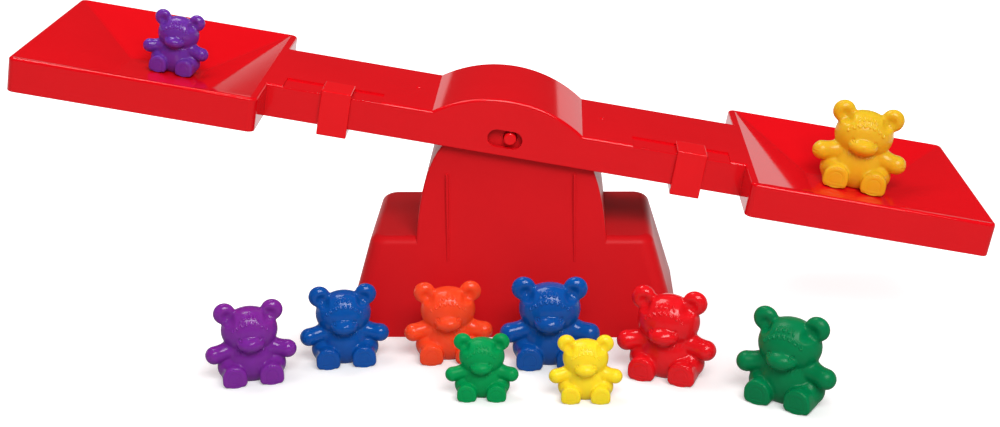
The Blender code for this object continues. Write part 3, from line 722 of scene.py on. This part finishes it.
HEAD = ((0, 0.02, 0.628), (0.350, 0.27, 0.298))
MUZZLE = ((0, -0.198, 0.532), (0.172, 0.145, 0.106))
NOSE = ((0, -0.322, 0.560), (0.038, 0.022, 0.022))
EAR = ((0.290, 0.03, 0.861), (0.139, 0.092, 0.139))
BODY = ((0, 0.02, 0.25), (0.31, 0.26, 0.34))
SHOULDER = ((0.225, 0.0, 0.395), 0.136)
HAND = ((0.448, -0.07, 0.362), 0.115)
HIP = ((0.255, -0.02, 0.17), 0.170)
FOOT = ((0.225, -0.24, 0.105), 0.133)
SOLE_FACE = -0.315
SOLE_MIDDLE = 0.225
SOLE_HALF = 0.150
SOLE_FOOT_HALF = 0.118
SOLE_SIDE = 0.045
SOLE_ARC = 0.122
SOLE_DEPTH = 0.26
SOLE_ROUND = 0.030
SOLE_ROUND_STEPS = 5
LIMB_BALLS = 10
LIMB_WAIST = 0.016
BALL_SIDES = 48
BALL_RINGS = 32
VOXEL = 0.0112
SMOOTHING = 6
SMOOTHING_FACTOR = 0.5

# The bear's carving: places, sizes and heights, how far a surface faces the front (0 to 1), and
# how far forward it has to lie
FRONT_FACING = (0.0, 0.4)
FUR_FACING = (-0.15, 0.1)
EARS_BEFORE = 0.1
EYES_BEFORE = -0.08
CHIN_BEFORE = -0.06
MUZZLE_BEFORE = -0.14
EYE = (0.130, 0.598)
EYE_BALL_RADIUS = 0.017
EYE_BALL_PROUD = 0.020
EYE_RING_RADIUS = 0.036
EYE_RING_DEPTH = 0.016
EAR_CUP = (0.262, 0.838)
EAR_CUP_RADIUS = 0.115
EAR_CUP_DEPTH = 0.045
EARS_ABOVE = 0.72
FUR_ABOVE = 0.66
FUR_PROUD = 0.0120
TUFT_WIDTH = 0.056
TUFT_ARC = 0.0185
TUFT_LINE = 0.0085
TUFT_STRETCH = 0.7
TUFT_ARCH = 2.2
TUFT_ROWS = ((0.872, 0.12), (0.806, 0.235))
TUFT_LOWER_HALF = (-0.016, -0.002)
TUFT_FADE = 0.02
CHIN_TUFTS = (0.075, 0.110, 0.145, 0.180)
CHIN_TUFT_LEVEL = 0.385
CHIN_TUFT_RISE = 0.22
CHIN_TUFT_SLANT = 0.35
CHIN_TUFT_UPRIGHT_AT = 0.40
CHIN_TUFT_WIDTH = 0.011
CHIN_TUFT_LENGTH = 0.036
CHIN_TUFT_PROUD = 0.012
PAW_CREASES = (0.352, 0.382)
PAW_CREASE_HALF = 0.007
PAW_CREASE_DEPTH = 0.006
PAW_FROM = 0.490
UNDER_MUZZLE = 0.430
UNDER_MUZZLE_ARCH = 1.2
UNDER_MUZZLE_HALF = 0.020
UNDER_MUZZLE_REACH = 0.17
UNDER_MUZZLE_FADE = 0.05
UNDER_MUZZLE_DEPTH = 0.010
SOLES_BELOW = 0.30
SOLE_FLATNESS = 0.05
SOLE_LINES = ((0.80, 0.07, 1.0), (0.50, 0.09, 0.8))
SOLE_LINE_PROUD = 0.0035
SOLE_LINE_REACH = 0.006
TOES = (-0.060, -0.020, 0.020, 0.060)
TOE_LEVEL = 0.248
TOE_ARCH = 3.0
TOE_RADIUS = 0.012
TOE_PROUD = 0.005
TOE_REACH = 0.02
FINE_HEAD_ABOVE = 0.47
FINE_HEAD_BEFORE = 0.02
FINE_SOLE_BELOW = 0.28
FINE_SOLE_REACH = 0.02


def unit_ball():
    """A ball of radius 1, to copy."""
    form = bmesh.new()
    bmesh.ops.create_uvsphere(form, u_segments=BALL_SIDES, v_segments=BALL_RINGS, radius=1)
    return mesh_of(form, "ball")


def ellipsoid(form, ball, centre, radii):
    """Add one ellipsoid."""
    first = len(form.verts)
    form.from_mesh(ball)
    form.verts.ensure_lookup_table()
    place = Matrix.Translation(centre) @ Matrix.Diagonal(Vector(radii)).to_4x4()
    bmesh.ops.transform(form, matrix=place, verts=form.verts[first:])


def limb(form, ball, start, stop, side):
    """Add a tapered limb as a row of balls."""
    for number in range(LIMB_BALLS):
        share = number / (LIMB_BALLS - 1)
        middle = Vector(start[0]).lerp(Vector(stop[0]), share)
        middle.x *= side
        radius = start[1] + (stop[1] - start[1]) * share - LIMB_WAIST * math.sin(math.pi * share)
        ellipsoid(form, ball, middle, (radius, radius, radius))


def sole_outline():
    """The D-shaped outline of a sole, flat side down."""
    return ([(-SOLE_FOOT_HALF, 0.0), (SOLE_FOOT_HALF, 0.0), (SOLE_HALF, SOLE_SIDE)]
            + arc((0, SOLE_ARC), SOLE_HALF, 0, 180, 2 * CORNER_STEPS) + [(-SOLE_HALF, SOLE_SIDE)])


def foot_block(side):
    """The foot behind a flat sole."""
    form = outline_prism(sole_outline(), SOLE_DEPTH, SEEN_FROM_FRONT)
    middle = (side * SOLE_MIDDLE, SOLE_FACE + SOLE_DEPTH / 2, 0)
    bmesh.ops.translate(form, vec=middle, verts=form.verts)
    rim_end = SOLE_FACE + SOLE_ROUND
    rim = sharp_edges(form, SHARP_ABOVE, lambda edge: max(v.co.y for v in edge.verts) < rim_end)
    round_off(form, rim, SOLE_ROUND, SOLE_ROUND_STEPS)
    return form


def bump(distance):
    """A smooth mound: 1 in the middle, 0 from a distance of 1."""
    return np.clip(1 - distance ** 2, 0, 1) ** 2


def step_up(value, low, high):
    """0 below low, 1 above high, smooth between them."""
    share = np.clip((value - low) / (high - low), 0, 1)
    return share * share * (3 - 2 * share)


def fur_tufts(x, z):
    """Arched rows of small U-shaped tufts on the forehead, each row half a tuft off the next."""
    z = z + TUFT_ARCH * x * x
    height = np.zeros(len(x))
    for row, (middle, reach) in enumerate(TUFT_ROWS):
        across = ((x / TUFT_WIDTH + 0.5 * (row % 2) + 0.5) % 1 - 0.5) * TUFT_WIDTH
        line = bump((np.hypot(across, TUFT_STRETCH * (z - middle)) - TUFT_ARC) / TUFT_LINE)
        lower_half = step_up(middle - z, *TUFT_LOWER_HALF)
        in_reach = step_up(reach - np.abs(x), 0, TUFT_FADE)
        height = np.maximum(height, line * lower_half * in_reach)
    return height


def sole_reach(across, up):
    """How far out on a sole's D a point lies: 0 in the middle, 1 on the outline."""
    round_part = np.hypot(across, np.maximum(up - SOLE_ARC, 0)) / SOLE_HALF
    return np.maximum(round_part, (SOLE_ARC - up) / SOLE_ARC)


def sculpted(points, normals):
    """Carve the face, ears, fur tufts, paws and soles into the bear's skin."""
    x, y, z = points.T
    front = step_up(-normals[:, 1], *FRONT_FACING)
    forward = step_up(-normals[:, 1], *FUR_FACING)
    out = np.zeros(len(points))
    for side in (-1, 1):
        cup = np.hypot(x - side * EAR_CUP[0], z - EAR_CUP[1]) / EAR_CUP_RADIUS
        out -= EAR_CUP_DEPTH * bump(cup) * front * (y < EARS_BEFORE) * (z > EARS_ABOVE)
        eye = np.hypot(x - side * EYE[0], z - EYE[1])
        ball = EYE_BALL_PROUD * bump(eye / EYE_BALL_RADIUS)
        ring = EYE_RING_DEPTH * bump(eye / EYE_RING_RADIUS)
        out += front * (y < EYES_BEFORE) * (ball - ring)
        for place in CHIN_TUFTS:
            leaning = place + CHIN_TUFT_SLANT * (z - CHIN_TUFT_UPRIGHT_AT)
            level = CHIN_TUFT_LEVEL + CHIN_TUFT_RISE * place
            tuft = np.hypot((x - side * leaning) / CHIN_TUFT_WIDTH, (z - level) / CHIN_TUFT_LENGTH)
            out += CHIN_TUFT_PROUD * bump(tuft) * front * (y < CHIN_BEFORE)
        for level in PAW_CREASES:
            line = bump((z - level) / PAW_CREASE_HALF)
            out -= PAW_CREASE_DEPTH * line * (side * x > PAW_FROM) * front
    fold = bump((z - UNDER_MUZZLE - UNDER_MUZZLE_ARCH * x * x) / UNDER_MUZZLE_HALF)
    fold *= step_up(UNDER_MUZZLE_REACH - np.abs(x), 0, UNDER_MUZZLE_FADE)
    out -= UNDER_MUZZLE_DEPTH * fold * front * (y < MUZZLE_BEFORE)
    out += FUR_PROUD * fur_tufts(x, z) * forward * (z > FUR_ABOVE)
    moved = points + out[:, None] * normals
    past_sole = moved[:, 1] - SOLE_FACE
    flattened = (past_sole < 0) & (z < SOLES_BELOW)
    moved[:, 1] = np.where(flattened, SOLE_FACE + SOLE_FLATNESS * past_sole, moved[:, 1])
    on_sole = (y < SOLE_FACE + SOLE_LINE_REACH) & (z < SOLES_BELOW)
    for side in (-1, 1):
        reach = sole_reach(x - side * SOLE_MIDDLE, z)
        for middle, half_width, strength in SOLE_LINES:
            line = strength * bump((reach - middle) / half_width)
            moved[:, 1] += SOLE_LINE_PROUD * line * on_sole
        for toe in TOES:
            level = TOE_LEVEL - TOE_ARCH * toe * toe
            dot = np.hypot(x - side * SOLE_MIDDLE - toe, z - level) / TOE_RADIUS
            moved[:, 1] += TOE_PROUD * bump(dot) * (y < SOLE_FACE + TOE_REACH)
    moved[:, 2] = np.maximum(moved[:, 2], 0)
    return moved


def finely_carved(vert):
    """Whether a point is where the carving is fine: the face, the forehead, the ears or a sole."""
    _, y, z = vert.co
    on_head = z > FINE_HEAD_ABOVE and y < FINE_HEAD_BEFORE
    on_sole = z < FINE_SOLE_BELOW and y < SOLE_FACE + FINE_SOLE_REACH
    return on_head or on_sole


def smooth_out(form, verts):
    """Smooth some points of a form once."""
    bmesh.ops.smooth_vert(form, verts=verts, factor=SMOOTHING_FACTOR, use_axis_x=True,
                          use_axis_y=True, use_axis_z=True)


def bear_skin():
    """A seated bear one unit tall: balls and feet joined under one skin, smoothed and carved."""
    form = merged([foot_block(side) for side in (-1, 1)])
    ball = unit_ball()
    for centre, radii in (HEAD, MUZZLE, NOSE, BODY):
        ellipsoid(form, ball, centre, radii)
    for side in (-1, 1):
        ellipsoid(form, ball, (side * EAR[0][0], EAR[0][1], EAR[0][2]), EAR[1])
        limb(form, ball, SHOULDER, HAND, side)
        limb(form, ball, HIP, FOOT, side)
    bpy.data.meshes.remove(ball)
    piece = draft(form)
    skin = piece.modifiers.new("one_skin", "REMESH")
    skin.mode = "VOXEL"
    skin.voxel_size = VOXEL
    form = taken_out(piece)
    for _ in range(SMOOTHING):
        smooth_out(form, form.verts)
    fine = [edge for edge in form.edges if all(finely_carved(vert) for vert in edge.verts)]
    bmesh.ops.subdivide_edges(form, edges=fine, cuts=1, use_grid_fill=True)
    smooth_out(form, [vert for vert in form.verts if finely_carved(vert)])
    form.normal_update()
    points = np.array([vert.co for vert in form.verts])
    normals = np.array([vert.normal for vert in form.verts])
    for vert, place in zip(form.verts, sculpted(points, normals)):
        vert.co = place
    bmesh.ops.triangulate(form, faces=[face for face in form.faces if len(face.verts) > 4])
    return mesh_of(form, "bear_skin")


# Each bear: where it is on the beam or on the table, and how far it is turned
PAN_BEARS = (
    ("purple_baby", -0.138191, 0.0065, -4),
    ("yellow_father", 0.145786, 0.00754, -8),
)
TABLE_BEARS = (
    ("purple_mother", -0.098384, -0.074810, 14),
    ("blue_mother", -0.064494, -0.058986, 10),
    ("orange_mother", -0.024000, -0.055512, 5),
    ("blue_father", 0.015700, -0.059502, 0),
    ("red_father", 0.060592, -0.070717, -18),
    ("green_father", 0.103386, -0.092010, -30),
    ("green_baby", -0.009185, -0.089190, 0),
    ("yellow_baby", 0.029219, -0.090497, 0),
)
PAN_FLOOR = DECK_LEVEL - PAN_DEPTH + GAP
BEAR_SKIN = bear_skin()


def seat_bear(name, place, turn):
    """Put one bear in its place, in its size and colour."""
    colour, size = name.split("_")
    mesh = BEAR_SKIN.copy()
    turned = Matrix.Rotation(math.radians(turn), 4, "Z")
    mesh.transform(place @ turned @ Matrix.Scale(HEIGHTS[size], 4))
    mesh.polygons.foreach_set("use_smooth", [True] * len(mesh.polygons))
    # A bear with a plastic of its own name takes it; those of the two bears in the pans carry
    # painted light
    mesh.materials.append(BEAR_PLASTICS.get(name, BEAR_PLASTICS[colour]))
    put(in_scene(name + "_counter", mesh), name, "bear_" + name)


for name, along, back, turn in PAN_BEARS:
    seat_bear(name, BEAM_PLACE @ Matrix.Translation((along, back, PAN_FLOOR)), turn)
for name, across, back, turn in TABLE_BEARS:
    seat_bear(name, Matrix.Translation((across, back, 0)), turn)
bpy.data.meshes.remove(BEAR_SKIN)


# Floor, light and camera

TABLE_HALF = 6.0
TABLE_ROUGHNESS = 0.9
TABLE_IOR = 1.05
# Painted glow on the table: full white away from the loose bears, which hides the beam's and pans'
# shadows;
# it glows less near the bears so that their shadows show.
TABLE_LEAST_GLOW_AT = (0.0, -0.17, 0.0)
TABLE_PAINTED_GLOW_ENDS = (0.13, 0.20)
TABLE_PAINTED_GLOW = (0.26, 0.80)
# In reflections the table glows less in front than behind and is darker than it looks: painted
# reflection.
TABLE_PAINTED_GLOW_MIRRORED_ENDS = (-0.02, 0.04)
TABLE_PAINTED_GLOW_MIRRORED = (0.26, 0.95)
TABLE_SEEN = 0.80
TABLE_MIRRORED = 0.08
TABLE_LIT = 0.50


def table_inputs(tree):
    """White with a painted glow: full white away from the loose bears, hiding the beam's shadows.
    """
    path = node(tree, "ShaderNodeLightPath").outputs
    seen = path["Is Camera Ray"]
    reflected = mirrored(tree, path)
    unseen_tone = between(tree, reflected, TABLE_LIT, TABLE_MIRRORED)
    place = node(tree, "ShaderNodeTexCoord").outputs["Object"]
    back = node(tree, "ShaderNodeSeparateXYZ", Vector=place).outputs["Y"]
    away = calculated(tree, "DISTANCE", place, TABLE_LEAST_GLOW_AT, kind="ShaderNodeVectorMath")
    painted_glow = ranged(tree, away, TABLE_PAINTED_GLOW_ENDS, TABLE_PAINTED_GLOW)
    painted_glow_mirrored = ranged(tree, back, TABLE_PAINTED_GLOW_MIRRORED_ENDS, TABLE_PAINTED_GLOW_MIRRORED)
    strength = calculated(tree, "MAXIMUM", calculated(tree, "MULTIPLY", seen, painted_glow),
                          calculated(tree, "MULTIPLY", reflected, painted_glow_mirrored))
    return {"Base Color": between(tree, seen, unseen_tone, TABLE_SEEN),
            "Roughness": TABLE_ROUGHNESS, "IOR": TABLE_IOR,
            "Emission Color": (1, 1, 1, 1), "Emission Strength": strength}


def table_top():
    """The table that the toy stands on."""
    form = bmesh.new()
    bmesh.ops.create_grid(form, x_segments=1, y_segments=1, size=TABLE_HALF)
    mesh = mesh_of(form, "table_top")
    mesh.materials.append(shaded("table_white", table_inputs))
    in_scene("table_top", mesh)


CARD_TOP = 0.1468
CARD_LEAN = 0.0478
CARD_EDGE = 0.001
CARD_LEVEL = 0.66
DARK_LEVEL = 0.04
AMBIENT_LEVEL = 0.46
BEHIND_ENDS = (0.0, 0.1)


def white_surroundings():
    """White where it is seen, a low pale card behind in reflections, plain grey light elsewhere."""
    world = bpy.data.worlds.new("studio")
    bpy.context.scene.world = world
    world.use_nodes = True
    tree = world.node_tree
    way = node(tree, "ShaderNodeTexCoord").outputs["Generated"]
    parts = node(tree, "ShaderNodeSeparateXYZ", Vector=way).outputs
    height = calculated(tree, "MULTIPLY_ADD", parts["X"], CARD_LEAN, parts["Z"])
    card = ranged(tree, height, (CARD_TOP, CARD_TOP + CARD_EDGE), (CARD_LEVEL, DARK_LEVEL))
    behind = ranged(tree, parts["Y"], BEHIND_ENDS, (DARK_LEVEL, 1))
    backdrop = calculated(tree, "MINIMUM", card, behind)
    path = node(tree, "ShaderNodeLightPath").outputs
    level = between(tree, mirrored(tree, path), AMBIENT_LEVEL, backdrop)
    ground = tree.nodes["Background"].inputs
    feed(tree, ground["Strength"], between(tree, path["Is Camera Ray"], level, 1))
    feed(tree, ground["Color"], (1, 1, 1, 1))


LIGHT_AIM = (0, 0, 0.05)


def softbox(name, place, width, height, level):
    """An area lamp; level is what it adds to a white surface that faces it at the aim."""
    lamp = bpy.data.lights.new(name, "AREA")
    lamp.shape = "RECTANGLE"
    lamp.size = width
    lamp.size_y = height
    away = Vector(LIGHT_AIM) - Vector(place)
    lamp.energy = level * (math.pi * away.length) ** 2
    holder = in_scene(name, lamp)
    holder.location = place
    holder.rotation_euler = away.to_track_quat("-Z", "Y").to_euler()


table_top()
white_surroundings()
softbox("overhead", (-0.28, 0.30, 1.00), width=0.40, height=0.40, level=0.27)
softbox("front_high", (0.24, -0.76, 0.89), width=0.72, height=0.48, level=0.70)

LENS = 57.75
SENSOR_WIDTH = 36
CAMERA_PLACE = (0.02280, -0.62776, 0.27036)
CAMERA_PAN = 2.587
CAMERA_DROP = 20.231
CAMERA_ROLL = -0.975
camera = in_scene("camera", bpy.data.cameras.new("camera"))
camera.data.lens = LENS
camera.data.sensor_width = SENSOR_WIDTH
camera.matrix_world = (Matrix.Translation(CAMERA_PLACE)
                       @ Matrix.Rotation(math.radians(CAMERA_PAN), 4, "Z")
                       @ Matrix.Rotation(math.radians(90 - CAMERA_DROP), 4, "X")
                       @ Matrix.Rotation(math.radians(CAMERA_ROLL), 4, "Z"))
bpy.context.scene.camera = camera
bpy.context.scene.view_settings.view_transform = "Standard"
